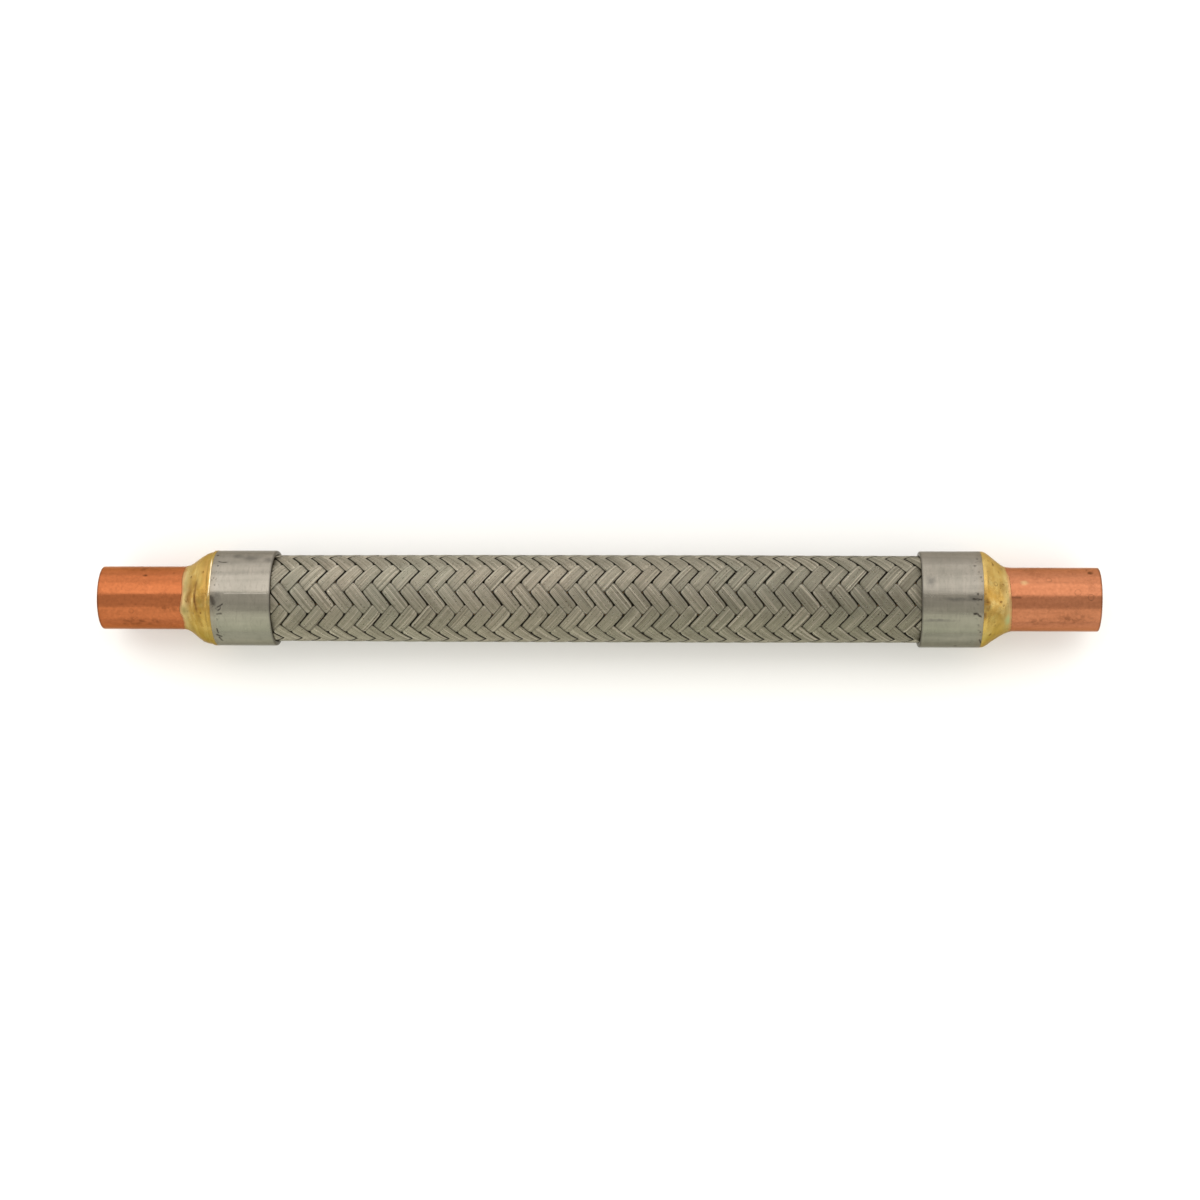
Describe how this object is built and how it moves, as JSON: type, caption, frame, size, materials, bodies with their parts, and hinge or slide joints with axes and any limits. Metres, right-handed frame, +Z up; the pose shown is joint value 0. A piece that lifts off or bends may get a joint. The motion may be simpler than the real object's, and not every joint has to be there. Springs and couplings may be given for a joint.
{
  "type": "vibration_eliminator",
  "caption": "Straight refrigerant-line vibration eliminator: wire-braided corrugated metal hose with steel ferrules, brazed to copper sweat ends",
  "frame": {"origin": "Centre of the bounding box, on the bore's axis midway between the two end faces", "axes": "+X along the bore's axis toward the right-hand end of the picture, +Z up as it lies on a flat surface, +Y away from the viewer's lower side (the picture's up direction)"},
  "size_m": [0.2286, 0.022, 0.022],
  "materials": {
    "copper": "satin",
    "braze": "satin",
    "ferrule_metal": "brushed",
    "hose_metal": "satin",
    "braid_wire": "satin"
  },
  "bodies": {
    "root": {"copper_end_left": "copper", "copper_end_right": "copper", "braze_fillet_left": "braze", "braze_fillet_right": "braze", "ferrule_left": "ferrule_metal", "ferrule_right": "ferrule_metal", "corrugated_hose": "hose_metal", "braid_strand_r01": "braid_wire", "braid_strand_l01": "braid_wire", "braid_strand_r02": "braid_wire", "braid_strand_l02": "braid_wire", "braid_strand_r03": "braid_wire", "braid_strand_l03": "braid_wire", "braid_strand_r04": "braid_wire", "braid_strand_l04": "braid_wire", "braid_strand_r05": "braid_wire", "braid_strand_l05": "braid_wire", "braid_strand_r06": "braid_wire", "braid_strand_l06": "braid_wire", "braid_strand_r07": "braid_wire", "braid_strand_l07": "braid_wire", "braid_strand_r08": "braid_wire", "braid_strand_l08": "braid_wire", "braid_strand_r09": "braid_wire", "braid_strand_l09": "braid_wire", "braid_strand_r10": "braid_wire", "braid_strand_l10": "braid_wire", "braid_strand_r11": "braid_wire", "braid_strand_l11": "braid_wire", "braid_strand_r12": "braid_wire", "braid_strand_l12": "braid_wire"}
  },
  "joints": []
}
